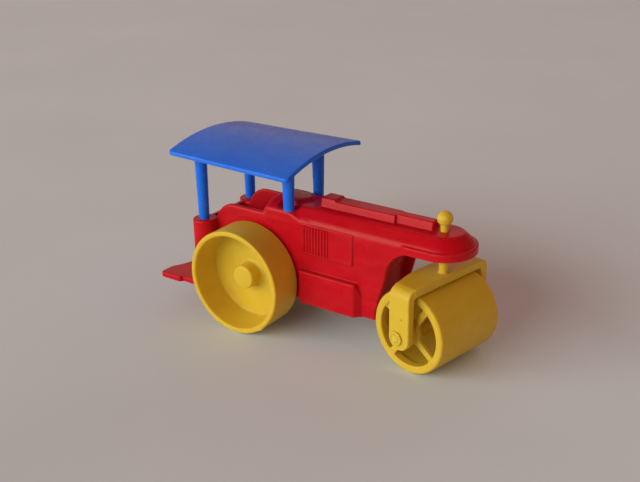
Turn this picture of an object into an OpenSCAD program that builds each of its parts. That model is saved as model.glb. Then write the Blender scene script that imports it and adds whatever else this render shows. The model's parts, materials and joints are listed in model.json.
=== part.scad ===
// Toy road roller: red body shell, blue four-post canopy, yellow rear wheels,
// and a yellow fork that carries a hollow spoked drum and steers about a king pin.
// +X points forwards, +Y to the left, +Z up. The origin is on the ground,
// at the middle of the toy's length and width. The fork is drawn slightly steered.

/* [Body] */
// Half the width of the body shell
body_half_w = 6.8; // [6.4:0.1:6.8]
// Wall thickness of the mouldings
wall = 1.1; // [0.9:0.1:1.3]
// Height of the body's lower edge
body_bottom_z = 8.5; // [8:0.1:9]
// Height of the crease between the side walls and the bevel
crease_z = 28; // [27.6:0.1:28.2]
// Height of the hood's flat top
hood_top_z = 30.4; // [30:0.1:31]
// Half the width of the hood's flat top
hood_flat_half_w = 4.2; // [3.8:0.1:4.6]
// Height of the rear part of the centre ridge
ridge_rear_z = 32; // [31.4:0.1:32]
// Height of the front part of the centre ridge
ridge_front_z = 32.2; // [32:0.1:32.8]
// Half the width of the rear step
step_half_w = 12.2; // [11.4:0.1:12.6]
// Height of the rear step's top
step_top_z = 7.9; // [7:0.1:8.2]
// Thickness of the rear step
step_t = 1.4; // [1.3:0.1:2.2]

/* [Canopy] */
// Half the width of the roof sheet
roof_half_w = 14.5; // [13.5:0.1:15.5]
// Height of the roof's side edges, at the underside
roof_edge_z = 39.8; // [38:0.1:42]
// Rise of the roof's arch above its side edges
roof_rise = 2.3; // [1.5:0.1:3]
// Thickness of the roof sheet
roof_t = 1.05; // [0.8:0.05:1.5]
// Radius of a post at its foot
post_foot_r = 1.25; // [1:0.05:1.3]
// Radius of a post at the roof
post_top_r = 1.5; // [1.2:0.05:1.6]

/* [Rear wheels] */
// Radius of a rear wheel
wheel_r = 12.5; // [12.3:0.1:12.6]
// Width of a rear wheel
wheel_w = 8.4; // [8:0.1:9]
// Distance from the middle of the toy to a wheel's inner side
wheel_in_y = 7.1; // [7.1:0.1:7.4]
// Thickness of the wheel's rim
rim_t = 1.2; // [1:0.1:1.5]

/* [Fork and drum] */
// Distance from the rear axle to the king pin
pin_x = 46; // [45.5:0.1:47]
// Steering angle at which the fork is drawn
steer_angle = -11; // [-13:1:0]
// Distance that the drum's axle trails the king pin
trail = 1.4; // [1:0.1:1.6]
// Radius of the drum
drum_r = 9.5; // [9:0.1:9.5]
// Half the width of the drum
drum_half_w = 9.6; // [8.8:0.1:9.6]
// Number of spokes in each end of the drum
spokes = 4; // [3:1:6]
// Width of a spoke
spoke_w = 1.5; // [1.2:0.1:2]
// Distance from the middle of the fork to a leg's inner face
leg_in_y = 11.2; // [11.1:0.1:11.6]
// Thickness of a leg
leg_t = 1.9; // [1.6:0.1:2.2]
// Width of a leg
leg_w = 5.5; // [5:0.1:6]
// Radius of the king pin
king_pin_r = 1; // [0.95:0.05:1.1]

/* [Hidden] */
$fn = 96;
e = 0.01;               // overlap that fuses touching solids, and ease of a press fit

red = [0.80, 0.06, 0.10];
blue = [0.13, 0.36, 0.78];
yellow = [0.90, 0.72, 0.16];

// Body
body_inner = body_half_w - wall;
cowl_x = 3.2;           // rear end of the hood, where the cab opens
cab_rear_x = -14.2;     // outer face of the wall behind the cab
cab_rear_z = 23.4;      // top of the wall behind the cab
cab_floor_z = 14.4;     // underside of the cab floor, above the axle
wall_top_z = 27.8;      // top of the cab's side walls
nose_bottom_z = 26;     // lower edge of the nose's wall
arch_centre = [42.2, 19.5];  // curve of the front edge over the drum
arch_r = 6.5;
front_edge = [[33, body_bottom_z], [33.35, 11], [33.9, 13.3], [35, 17]];  // below the arch
cab_corner = [[-6.3, wall_top_z], [-8, 27.4], [-9.5, 26.6], [-10.6, 25.4], [-11.4, cab_rear_z]];
bulkhead_rear = [[29.9, 0], [31.9, 13.3], [32.9, 19], [33.7, 23.2], [36, 26]];  // front wall, inside
bulkhead_front = [[31.9, 0], [30.9, body_bottom_z - 1], [32.8, 13.3], [33.9, 19]];
recess_r = 8;           // curve of the front wall under the nose
bay_top = 27.8;         // highest part of the engine bay under the nose
above = 40;             // a height over everything that is cut
tower_x = -13.5;
tower_y = 8.7;
tower_r = 2.7;
tower_z = 23.6;
front_post_x = 9.6;
front_post_y = 5.75;
pocket_r = 2;           // seat cut into the cowl round a front post
pocket_z = 29.5;
socket_r = 0.6;
socket_depth = 3;
cowl_x1 = 12.6;         // front end of the cowl, the raised rear part of the hood
cowl_top_z = 30.9;
cowl_crease_z = 29.3;
cowl_flat_half_w = 3.1;
step_rear_x = -26;
step_hollow = 2.4;      // depth of the curved notch in the step's rear edge
step_hollow_half_w = 8;
step_neck_x = -19.4;    // where the step narrows towards the towers
step_corner_r = 0.8;
wheel_gap_r = wheel_r + 0.5;
panel_x0 = 13.8;
panel_x1 = 27.4;
panel_z0 = 20.3;
panel_proud = 0.3;
panel_rib_pitch = 0.85;
panel_rib_w = 0.3;
panel_rib_proud = 0.15;
panel_ribs = 8;
box_x0 = 13.7;
box_x1 = 28.4;
box_z1 = 16.4;
box_proud = 1.5;
ridge_x0 = 13.4;
ridge_step_x = 35;
ridge_x1 = 43.9;
ridge_rear_half_w = 2.2;
ridge_front_half_w = 1.6;
ridge_edge = 0.3;       // bevel of the ridge's upper edges, across
ridge_edge_h = 0.2;     // and down
fillet_r = 0.4;         // rounding of the bevel's two edges
lip_x = 39.6;           // rear end of the lip round the nose
lip_proud = 0.5;
lip_top_z = 27.9;
nose_plate_z = 26.9;    // underside of the plate inside the nose
boss_r = 2.2;

// Canopy
roof_x0 = -18.2;        // rear edge of the roof
roof_length = 34.2;
roof_corner_r = 0.9;
roof_arch_r = (roof_half_w * roof_half_w + roof_rise * roof_rise) / (2 * roof_rise);
roof_arch_z = roof_edge_z + roof_rise - roof_arch_r;

// Rear axle and wheels
axle_r = 1;
axle_clear = 0.06;
wheel_out_y = wheel_in_y + wheel_w;
web_t = 1.1;
web_in_y = wheel_in_y + 0.2;
hub_r = 2.8;
dish_draft = 0.8;       // how much narrower a wheel's dish is at its web
hub_out_y = 11.7;
axle_half_l = hub_out_y - 0.8;
edge_r = 0.45;

// Fork and drum
saddle_bottom_z = 19.1;
saddle_top_z = 20.8;
leg_out_y = leg_in_y + leg_t;
leg_x = -0.9;           // middle of a leg, forward of the king pin's axis
shoulder_r = 2.1;
saddle_rear_x = -5.4;   // rear edge of the saddle at its middle
saddle_flare_y = 4.5;
collar_r = 1.5;
collar_t = 0.7;
collar_top_z = nose_plate_z - 0.05;
upper_pin_r = 0.9;
pin_clear = 0.05;
knob_z = 33.2;
knob_r = 1.7;
knob_flat = 0.5;        // how much of the ball's underside is cut flat
knob_bottom_z = knob_z - knob_r + knob_flat;
stub_r = 0.95;
stub_clear = 0.06;
stub_head_r = 1.65;
stub_head_t = 0.55;
groove_in_r = 0.75;     // ring pressed into a pin's head
groove_out_r = 1.15;
groove_depth = 0.2;
drum_wall = 1.3;
drum_lip_r = 7.7;       // inner radius of the ring at each end of the drum
drum_lip_t = 2.4;
window_out_r = 7.5;
end_t = 1.3;            // thickness of the spoked ends
end_recess = 0.4;
drum_hub_r = 2.2;
drum_hub_out = leg_in_y - 0.3;
hub_length = 5;
shank_length = 4;       // how far a pin reaches into the drum's end
window_in_r = 2.7;
spoke_start = 54;       // angle of the first spoke above the forward direction

// Overall length, measured with the fork at its drawn angle
drum_edge_r = 0.6;
drum_front = (drum_r - drum_edge_r) * cos(steer_angle) + drum_edge_r
    + (drum_half_w - drum_edge_r) * abs(sin(steer_angle));
front_x = pin_x - trail * cos(steer_angle) + drum_front;
shift_x = -(front_x + step_rear_x) / 2;

// Points of an arc about c, from angle a0 to a1
function arc(c, r, a0, a1, n = 6) =
    [for (i = [0:n]) [c[0] + r * cos(a0 + (a1 - a0) * i / n), c[1] + r * sin(a0 + (a1 - a0) * i / n)]];

// Right half of the hood's cross-section above its lower edge: side, bevel and flat top
function hood_half(half_w, flat_half_w, crease, top, low) =
    let (bevel = atan2(top - crease, half_w - flat_half_w), k = fillet_r * tan((90 - bevel) / 2),
         m = fillet_r * tan(bevel / 2))
    concat([[half_w, low]], arc([half_w - fillet_r, crease - k], fillet_r, 0, 90 - bevel, 3),
        arc([flat_half_w - m, top - fillet_r], fillet_r, 90 - bevel, 90, 3));

function mirrored(points) = [for (i = [len(points) - 1:-1:0]) [-points[i][0], points[i][1]]];

// Puts an outline drawn in X and Z into the XZ plane, thickened along Y from y0 to y1
module along_y(y0, y1) {
    translate([0, y1, 0]) rotate([90, 0, 0]) linear_extrude(y1 - y0) children();
}

// Puts an outline drawn in Y and Z into the YZ plane, thickened along X from x0 to x1
module along_x(x0, x1) {
    translate([x0, 0, 0]) rotate([90, 0, 90]) linear_extrude(x1 - x0) children();
}

module at_both_sides() {
    children();
    mirror([0, 1, 0]) children();
}

// Shape of the hood and nose, inset on every side, with its lower side at low
module hood_solid(inset, low) {
    half = hood_half(body_half_w - inset, hood_flat_half_w - inset / 2, crease_z - inset / 2,
        hood_top_z - inset, low);
    along_x(cowl_x, pin_x) polygon(concat(half, mirrored(half)));
    nose = hood_half(body_half_w - inset, hood_flat_half_w - inset / 2, crease_z - inset / 2,
        hood_top_z - inset, max(low, nose_bottom_z));
    translate([pin_x, 0, 0]) rotate([0, 0, -90]) rotate_extrude(angle = 180)
        polygon(concat([[0, max(low, nose_bottom_z)]], nose, [[0, hood_top_z - inset]]));
}

// Side view of the side walls, from the cab to the arch over the drum
module side_outline() {
    polygon(concat([[cab_rear_x, body_bottom_z]], front_edge, arc(arch_centre, arch_r, 180, 92, 8),
        [[pin_x + e, nose_bottom_z], [pin_x + e, above], [cowl_x, above], [cowl_x, wall_top_z]],
        cab_corner, [[cab_rear_x, cab_rear_z]]));
}

module body_outside() {
    intersection() {
        union() {
            hood_solid(0, body_bottom_z);
            translate([cab_rear_x, -body_half_w, body_bottom_z])
                cube([cowl_x - cab_rear_x + e, 2 * body_half_w, wall_top_z - body_bottom_z]);
        }
        union() {
            along_y(-body_half_w - 1, body_half_w + 1) side_outline();
            translate([pin_x, 0, nose_bottom_z]) cylinder(h = 10, r = body_half_w + 1);
        }
    }
    at_both_sides() {
        translate([tower_x, -tower_y, step_top_z - step_t])
            cylinder(h = tower_z - step_top_z + step_t, r = tower_r);
        // web between the tower and the side wall
        translate([cab_rear_x, -tower_y, step_top_z - e])
            cube([tower_x + tower_r - cab_rear_x, tower_y - body_inner, cab_rear_z - step_top_z]);
        side_panel();
        side_box();
    }
    rear_step();
    translate([cab_rear_x, -body_half_w, step_top_z - e])
        cube([wall, 2 * body_half_w, body_bottom_z + 1 - step_top_z]);
    cowl();
    ridge();
    nose_lip();
}

// Thicker lower edge of the nose, running back a little way along the sides
module nose_lip() {
    half_w = body_half_w + lip_proud;
    translate([0, 0, nose_bottom_z]) linear_extrude(lip_top_z - nose_bottom_z) {
        translate([pin_x, 0]) circle(half_w);
        polygon([[lip_x, -body_half_w], [lip_x + 2 * lip_proud, -half_w], [pin_x, -half_w],
            [pin_x, half_w], [lip_x + 2 * lip_proud, half_w], [lip_x, body_half_w]]);
    }
}

// Raised rear part of the hood, ending in a slope down to the hood's flat top
module cowl() {
    half = hood_half(body_half_w, cowl_flat_half_w, cowl_crease_z, cowl_top_z, crease_z - 1.5);
    intersection() {
        along_x(cowl_x, cowl_x1) polygon(concat(half, mirrored(half)));
        along_y(-10, 10) polygon(concat(arc([cowl_x + 1, cowl_top_z - 1], 1, 180, 90, 5),
            [[cowl_x1 - 1.8, cowl_top_z], [cowl_x1, hood_top_z - 0.1], [cowl_x1, 20], [cowl_x, 20]]));
    }
}

// Everything inside the shell that is empty
module body_inside() {
    // engine bay below the hood, open below
    intersection() {
        hood_solid(wall, body_bottom_z - 1);
        along_y(-body_inner, body_inner) polygon(concat([[cowl_x + wall, 0]], bulkhead_rear,
            [[40, bay_top - 0.4], [pin_x + 20, bay_top], [pin_x + 20, above], [cowl_x + wall, above]]));
    }
    // recess in front of the bulkhead and under the nose, between the side walls
    intersection() {
        hood_solid(wall, 0);
        along_y(-body_inner, body_inner) polygon(concat(bulkhead_front,
            arc(arch_centre, recess_r, 178, 114, 8),
            [[pin_x - 4, nose_plate_z], [pin_x + 20, nose_plate_z], [pin_x + 20, 0]]));
    }
    // cab, open above
    translate([cab_rear_x + wall, -body_inner, cab_floor_z + wall])
        cube([cowl_x - cab_rear_x - wall, 2 * body_inner, 20]);
    // space below the cab floor
    translate([cab_rear_x + wall, -body_inner, 0])
        cube([cowl_x - cab_rear_x - wall - e, 2 * body_inner, cab_floor_z]);
}

// Raised panel with upright ribs on its rear half
module side_panel() {
    y = -body_half_w - panel_proud;
    panel_h = crease_z - 0.5 - panel_z0;
    margin = 0.4;
    translate([panel_x0, y, panel_z0]) cube([panel_x1 - panel_x0, panel_proud + e, panel_h]);
    for (i = [1:panel_ribs])
        translate([panel_x0 + i * panel_rib_pitch - panel_rib_w / 2, y - panel_rib_proud, panel_z0 + margin])
            cube([panel_rib_w, panel_rib_proud + e, panel_h - 2 * margin]);
}

// Box low on the side, with a front end that slants out to the wall
module side_box() {
    y = -body_half_w;
    hull() {
        translate([box_x0, y - box_proud, body_bottom_z])
            cube([box_x1 - box_x0, e, box_z1 - body_bottom_z]);
        along_y(y, y + e) polygon([[box_x0, body_bottom_z], [box_x1 + 1.4, body_bottom_z],
            [box_x1 + 1.4, 13.4], [box_x1 + 0.2, box_z1], [box_x0, box_z1]]);
    }
}

// Flat step behind the wheels, its rear edge curved inwards between two round corners
module rear_step() {
    curve_r = (step_hollow_half_w * step_hollow_half_w + step_hollow * step_hollow) / (2 * step_hollow);
    front_x = cab_rear_x + wall;
    neck_half_w = tower_y + tower_r;
    difference() {
        translate([0, 0, step_top_z - step_t]) linear_extrude(step_t) union() {
            translate([step_rear_x + step_corner_r, -step_half_w])
                square([step_neck_x - step_rear_x - step_corner_r, 2 * step_half_w]);
            translate([step_neck_x - e, -neck_half_w]) square([front_x - step_neck_x + e, 2 * neck_half_w]);
            for (s = [-1, 1]) translate([step_rear_x + step_corner_r, s * (step_half_w - step_corner_r)])
                circle(step_corner_r, $fn = 48);
            translate([step_rear_x, -step_half_w + step_corner_r])
                square([4, 2 * (step_half_w - step_corner_r)]);
        }
        translate([step_rear_x + step_hollow - curve_r, 0, 0]) cylinder(h = 30, r = curve_r, $fn = 200);
    }
}

// Section of the ridge: sides that lean in by lean, and bevelled upper edges
function ridge_half(half_w, top, lean) = [[half_w, hood_top_z - 0.3],
    [half_w - lean, top - ridge_edge_h], [half_w - lean - ridge_edge, top]];

// Ridge along the middle of the hood: a wide rear part and a narrower, higher front part
module ridge() {
    rear = ridge_half(ridge_rear_half_w, ridge_rear_z, 0.4);
    front = ridge_half(ridge_front_half_w, ridge_front_z, 0.3);
    intersection() {
        along_x(ridge_x0, ridge_step_x) polygon(concat(rear, mirrored(rear)));
        along_y(-5, 5) polygon([[ridge_x0, 0], [ridge_x1, 0], [ridge_x1, above], [ridge_x0 + 4, above],
            [ridge_x0 + 1.6, ridge_rear_z], [ridge_x0, hood_top_z]]);
    }
    along_x(ridge_step_x - e, ridge_x1) polygon(concat(front, mirrored(front)));
}

module body_bosses() {
    at_both_sides() {
        // bearing for the rear axle
        translate([0, -body_inner - e, wheel_r]) rotate([-90, 0, 0]) cylinder(h = 1.2, r = boss_r - 0.5);
        // column below a front post's socket
        translate([front_post_x, -front_post_y, pocket_z - socket_depth - wall])
            cylinder(h = socket_depth + wall, r = socket_r + 0.85);
    }
    // tube that the king pin turns in
    translate([pin_x, 0, nose_plate_z]) cylinder(h = hood_top_z - nose_plate_z - 0.5, r = boss_r);
}

module body() {
    color(red) translate([shift_x, 0, 0]) difference() {
        union() {
            difference() {
                body_outside();
                body_inside();
                // seats in the bevel for the front posts
                at_both_sides() translate([front_post_x, -front_post_y, pocket_z])
                    cylinder(h = 5, r = pocket_r);
            }
            intersection() {
                body_bosses();
                union() {
                    hood_solid(0, body_bottom_z);
                    translate([cab_rear_x, -body_half_w, body_bottom_z])
                        cube([30, 2 * body_half_w, wall_top_z - body_bottom_z]);
                }
            }
        }
        // room for the rear wheels
        at_both_sides() translate([0, -30, wheel_r]) rotate([-90, 0, 0])
            cylinder(h = 30 - body_half_w, r = wheel_gap_r);
        // bores
        translate([0, -20, wheel_r]) rotate([-90, 0, 0]) cylinder(h = 40, r = axle_r + axle_clear);
        translate([pin_x, 0, nose_bottom_z - 1]) cylinder(h = 10, r = upper_pin_r + pin_clear);
        at_both_sides() {
            translate([tower_x, -tower_y, tower_z - socket_depth]) cylinder(h = 5, r = socket_r);
            translate([front_post_x, -front_post_y, pocket_z - socket_depth]) cylinder(h = 5, r = socket_r);
        }
    }
}

// Post from its seat up into the roof, with a thinner tip in the socket
module post(x, y, z) {
    top = roof_arch_z + sqrt(roof_arch_r * roof_arch_r - y * y);
    translate([x, y, 0]) {
        translate([0, 0, z - socket_depth + 0.1]) cylinder(h = socket_depth, r = socket_r - 0.03);
        translate([0, 0, z]) cylinder(h = top - z + 0.3, r1 = post_foot_r, r2 = post_top_r);
        translate([0, 0, top - 1]) cylinder(h = 1.3, r1 = post_top_r - 0.05, r2 = post_top_r + 0.9);
    }
}

module canopy() {
    color(blue) translate([shift_x, 0, 0]) {
        intersection() {
            translate([roof_x0, 0, roof_arch_z]) rotate([0, 90, 0]) difference() {
                cylinder(h = roof_length, r = roof_arch_r + roof_t, $fn = 360);
                translate([0, 0, -1]) cylinder(h = roof_length + 2, r = roof_arch_r, $fn = 360);
            }
            translate([0, 0, roof_edge_z - 2]) linear_extrude(10) union() {
                translate([roof_x0 + roof_corner_r, -roof_half_w])
                    square([roof_length - 2 * roof_corner_r, 2 * roof_half_w]);
                translate([roof_x0, -roof_half_w + roof_corner_r])
                    square([roof_length, 2 * (roof_half_w - roof_corner_r)]);
                for (x = [roof_x0 + roof_corner_r, roof_x0 + roof_length - roof_corner_r], s = [-1, 1])
                    translate([x, s * (roof_half_w - roof_corner_r)]) circle(roof_corner_r, $fn = 48);
            }
        }
        for (s = [-1, 1]) {
            post(tower_x, s * tower_y, tower_z);
            post(front_post_x, s * front_post_y, pocket_z);
        }
    }
}

module rear_axle() {
    color(yellow) translate([shift_x, -axle_half_l, wheel_r]) rotate([-90, 0, 0])
        cylinder(h = 2 * axle_half_l, r = axle_r);
}

// Deep-dished wheel with its web close to the body and a closed hub standing out of it
module rear_wheel(side) {
    r_in = wheel_r - rim_t;
    web_r = r_in - dish_draft;
    web_out_y = web_in_y + web_t;
    fillet = 0.5;
    color(yellow) translate([shift_x, 0, wheel_r]) scale([1, side, 1]) rotate([-90, 0, 0]) difference() {
        rotate_extrude() polygon(concat(
            [[0, web_in_y], [r_in - 0.6, web_in_y], [r_in - 0.6, wheel_in_y]],
            arc([wheel_r - edge_r, wheel_in_y + edge_r], edge_r, -90, 0, 5),
            arc([wheel_r - edge_r, wheel_out_y - edge_r], edge_r, 0, 90, 5),
            arc([r_in + edge_r, wheel_out_y - edge_r], edge_r, 90, 180, 5),
            arc([web_r - fillet, web_out_y + fillet], fillet, 0, -90, 6),
            [[hub_r + 0.3, web_out_y], [hub_r + 0.05, web_out_y + 0.3]],
            arc([hub_r - 0.4, hub_out_y - 0.4], 0.4, 0, 90, 4), [[0, hub_out_y]]));
        cylinder(h = axle_half_l, r = axle_r);
    }
}

module rear_wheel_right() { rear_wheel(-1); }

module rear_wheel_left() { rear_wheel(1); }

// Places children drawn in the fork's own frame: origin below the king pin, drum straight ahead
module steered() {
    translate([pin_x + shift_x, 0, 0]) rotate([0, 0, steer_angle]) children();
}

// Places children drawn about the drum's axle, which lies along Y
module on_drum_axle() {
    steered() translate([-trail, 0, drum_r]) rotate([-90, 0, 0]) children();
}

module fork() {
    pin_top_z = knob_z + 0.4;
    color(yellow) difference() {
        steered() {
            intersection() {
                along_x(leg_x - leg_w / 2, leg_x + leg_w / 2) polygon(concat(
                    [[-leg_out_y, 0]],
                    arc([-leg_out_y + shoulder_r, saddle_top_z - shoulder_r], shoulder_r, 180, 90),
                    arc([leg_out_y - shoulder_r, saddle_top_z - shoulder_r], shoulder_r, 90, 0),
                    [[leg_out_y, 0], [leg_in_y, 0]],
                    arc([leg_in_y - 1, saddle_bottom_z - 1], 1, 0, 90, 4),
                    arc([-leg_in_y + 1, saddle_bottom_z - 1], 1, 90, 180, 4),
                    [[-leg_in_y, 0]]));
                along_y(-20, 20) union() {
                    translate([leg_x, drum_r]) circle(leg_w / 2);
                    translate([leg_x - leg_w / 2, drum_r]) square([leg_w, 30]);
                }
            }
            translate([0, 0, saddle_bottom_z]) linear_extrude(saddle_top_z - saddle_bottom_z)
                polygon([[leg_x + leg_w / 2, -leg_in_y], [leg_x + leg_w / 2, leg_in_y],
                    [leg_x - leg_w / 2, leg_in_y], [saddle_rear_x + 0.2, saddle_flare_y], [saddle_rear_x, 0],
                    [saddle_rear_x + 0.2, -saddle_flare_y], [leg_x - leg_w / 2, -leg_in_y]]);
            translate([0, 0, saddle_top_z - e]) cylinder(h = collar_top_z - saddle_top_z, r = king_pin_r);
            translate([0, 0, collar_top_z - collar_t]) cylinder(h = collar_t, r = collar_r);
            translate([0, 0, collar_top_z - e]) cylinder(h = pin_top_z - collar_top_z, r = upper_pin_r);
        }
        on_drum_axle() cylinder(h = 40, r = stub_r + e, center = true);
    }
}

module king_pin_knob() {
    color(yellow) steered() difference() {
        intersection() {
            translate([0, 0, knob_z]) sphere(knob_r);
            translate([0, 0, knob_bottom_z]) cylinder(h = 2 * knob_r, r = knob_r + 1);
        }
        translate([0, 0, knob_bottom_z - 1])
            cylinder(h = knob_z + 0.5 - knob_bottom_z + 1, r = upper_pin_r + e);
    }
}

// Openings between the spokes, in an end whose outer side is towards +Z
module windows() {
    rotate([0, 0, spoke_start]) translate([0, 0, drum_half_w - end_recess - end_t - 1]) difference() {
        cylinder(h = end_t + 2, r = window_out_r);
        translate([0, 0, -1]) cylinder(h = end_t + 4, r = window_in_r);
        for (i = [0:spokes - 1]) rotate([0, 0, 360 * i / spokes])
            translate([0, -spoke_w / 2, -1]) cube([drum_r, spoke_w, end_t + 4]);
    }
}

module hub_bore() {
    cylinder(h = 40, r = stub_r + stub_clear);
}

// Rolling shell with the right-hand spoked end moulded in
module drum() {
    r_in = drum_r - drum_wall;
    out_z = drum_half_w - end_recess;
    color(yellow) on_drum_axle() rotate([180, 0, 0]) difference() {
        rotate_extrude() polygon(concat(
            [[0, out_z - hub_length], [drum_hub_r, out_z - hub_length], [drum_hub_r, out_z - end_t],
            [r_in, out_z - end_t], [r_in, -drum_half_w]],
            arc([drum_r - drum_edge_r, -drum_half_w + drum_edge_r], drum_edge_r, -90, 0, 5),
            arc([drum_r - drum_edge_r, drum_half_w - drum_edge_r], drum_edge_r, 0, 90, 5),
            arc([drum_lip_r + 0.3, drum_half_w - 0.3], 0.3, 90, 180, 3),
            [[drum_lip_r, out_z], [drum_hub_r, out_z], [drum_hub_r, drum_hub_out], [0, drum_hub_out]]));
        windows();
        hub_bore();
    }
}

// Left-hand spoked end, pressed into the shell
module drum_end_cap() {
    r_out = drum_r - drum_wall;
    out_z = drum_half_w - end_recess;
    color(yellow) on_drum_axle() difference() {
        rotate_extrude() polygon([[0, out_z - hub_length], [drum_hub_r, out_z - hub_length],
            [drum_hub_r, out_z - end_t], [drum_lip_r, out_z - end_t], [drum_lip_r, drum_half_w - drum_lip_t],
            [r_out, drum_half_w - drum_lip_t], [r_out, drum_half_w - 0.2], [drum_lip_r, drum_half_w - 0.2],
            [drum_lip_r, out_z], [drum_hub_r, out_z], [drum_hub_r, drum_hub_out], [0, drum_hub_out]]);
        windows();
        hub_bore();
    }
}

// Pressed into a leg from outside; its shank carries the drum's hub
module drum_pin() {
    shank_in = drum_half_w - end_recess - shank_length;
    difference() {
        union() {
            translate([0, 0, shank_in]) cylinder(h = leg_out_y - shank_in + e, r = stub_r);
            translate([0, 0, leg_out_y]) cylinder(h = stub_head_t, r1 = stub_head_r, r2 = stub_head_r - 0.15);
        }
        translate([0, 0, leg_out_y + stub_head_t - groove_depth]) difference() {
            cylinder(h = 1, r = groove_out_r);
            cylinder(h = 1, r = groove_in_r);
        }
    }
}

module drum_pin_right() { color(yellow) on_drum_axle() rotate([180, 0, 0]) drum_pin(); }

module drum_pin_left() { color(yellow) on_drum_axle() drum_pin(); }

body();
canopy();
rear_axle();
rear_wheel_right();
rear_wheel_left();
fork();
king_pin_knob();
drum();
drum_end_cap();
drum_pin_right();
drum_pin_left();
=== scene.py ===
import json
import math

import bmesh
import bpy
import numpy as np
from mathutils import Matrix, Vector


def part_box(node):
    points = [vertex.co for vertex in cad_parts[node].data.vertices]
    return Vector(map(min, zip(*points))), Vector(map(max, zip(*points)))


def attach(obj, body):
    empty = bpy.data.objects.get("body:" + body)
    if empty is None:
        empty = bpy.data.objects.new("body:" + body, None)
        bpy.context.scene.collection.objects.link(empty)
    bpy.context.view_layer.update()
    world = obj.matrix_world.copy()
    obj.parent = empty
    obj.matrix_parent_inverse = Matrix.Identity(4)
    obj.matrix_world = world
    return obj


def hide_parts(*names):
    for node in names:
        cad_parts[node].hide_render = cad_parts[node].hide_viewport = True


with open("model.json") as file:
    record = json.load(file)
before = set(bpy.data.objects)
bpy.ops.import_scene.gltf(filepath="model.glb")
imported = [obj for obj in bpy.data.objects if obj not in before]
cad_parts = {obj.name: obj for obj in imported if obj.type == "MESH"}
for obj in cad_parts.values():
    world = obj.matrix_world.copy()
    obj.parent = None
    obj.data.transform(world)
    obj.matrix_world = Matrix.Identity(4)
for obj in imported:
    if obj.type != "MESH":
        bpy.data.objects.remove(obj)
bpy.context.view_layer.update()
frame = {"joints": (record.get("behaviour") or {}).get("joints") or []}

# ---------------------------------------------------------------- placing
# Shapes are worked out in millimetres with X = 0 at the rear axle, as in the part's source.
MM = 0.001
axle_lo, axle_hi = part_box("rear_axle")
SHIFT = (axle_lo.x + axle_hi.x) / 2 / MM
JOINTS = {j["name"]: j for j in frame["joints"]}
PIN_X = JOINTS["steering"]["pos_m"][0] / MM - SHIFT
DRUM_AT = [v / MM for v in JOINTS["drum_spin"]["pos_m"]]
DRUM_AXIS = JOINTS["drum_spin"]["axis"]
STEER = math.atan2(-DRUM_AXIS[0], DRUM_AXIS[1])
TRAIL = math.hypot(DRUM_AT[0] - SHIFT - PIN_X, DRUM_AT[1])


def to_body(p):
    """From body millimetres to the row frame in metres."""
    return (p + np.array([SHIFT, 0, 0])) * MM


def to_fork(p):
    """From fork millimetres (origin below the king pin, drum straight ahead) to the row frame."""
    c, s = math.cos(STEER), math.sin(STEER)
    x = p[:, 0] * c - p[:, 1] * s + PIN_X + SHIFT
    y = p[:, 0] * s + p[:, 1] * c
    return np.stack([x, y, p[:, 2]], 1) * MM


# ---------------------------------------------------------------- distance-field modelling
# Each shape is a function that gives the distance to its surface in millimetres, negative inside.
# The last number of smin, smax, cut, rect2, cross and slab is the radius of the blend or the edge.
def smin(a, b, k):
    """Either of the two, with a fillet between them."""
    h = np.maximum(k - np.abs(a - b), 0) / k
    return np.minimum(a, b) - h * h * k / 4


def smax(a, b, k):
    """Both at once, with a rounded edge between them."""
    h = np.maximum(k - np.abs(a - b), 0) / k
    return np.maximum(a, b) + h * h * k / 4


def cut(a, b, k):
    """The first without the second."""
    return smax(a, -b, k)


def cross(a, b, r):
    """Both at once, its outer edges rounded by r without taking anything off the faces."""
    a, b = a + r, b + r
    return np.hypot(np.maximum(a, 0), np.maximum(b, 0)) + np.minimum(np.maximum(a, b), 0) - r


def rect2(x, y, hx, hy, r):
    return cross(np.abs(x) - hx, np.abs(y) - hy, r)


def span(v, lo, hi):
    """Distance to the slab lo < v < hi."""
    return np.abs(v - (lo + hi) / 2) - (hi - lo) / 2


def tilt(u, v, nu, nv):
    """Distance to a plane through u = v = 0 whose normal points along (nu, nv)."""
    return (u * nu + v * nv) / math.hypot(nu, nv)


def slab(x, y, z, lo, hi, r):
    c = [(a + b) / 2 for a, b in zip(lo, hi)]
    h = [(b - a) / 2 - r for a, b in zip(lo, hi)]
    q = [np.abs(v - m) - e for v, m, e in zip((x, y, z), c, h)]
    out = np.sqrt(sum(np.maximum(v, 0) ** 2 for v in q))
    return out + np.minimum(np.maximum(np.maximum(q[0], q[1]), q[2]), 0) - r


def poly2(px, pz, pts):
    """Signed distance to a closed outline."""
    d = None
    sign = None
    n = len(pts)
    for i in range(n):
        ax, az = pts[i]
        bx, bz = pts[i - 1]
        ex, ez = bx - ax, bz - az
        wx, wz = px - ax, pz - az
        t = np.clip((wx * ex + wz * ez) / (ex * ex + ez * ez), 0, 1)
        q = (wx - ex * t) ** 2 + (wz - ez * t) ** 2
        c1, c2, c3 = pz >= az, pz < bz, ex * wz > ez * wx
        flip = (c1 & c2 & c3) | (~c1 & ~c2 & ~c3)
        d = q if d is None else np.minimum(d, q)
        sign = flip if sign is None else sign ^ flip
    return np.sqrt(d) * np.where(sign, -1.0, 1.0)


def arc(cx, cz, r, a0, a1, n=8):
    """Points along an arc, from angle a0 to a1 in degrees."""
    a = [math.radians(a0 + (a1 - a0) * i / n) for i in range(n + 1)]
    return [(cx + r * math.cos(t), cz + r * math.sin(t)) for t in a]


def along(p, q, n):
    """n points from p towards q, without q itself."""
    return [(p[0] + (q[0] - p[0]) * i / n, p[1] + (q[1] - p[1]) * i / n) for i in range(n)]


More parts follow.
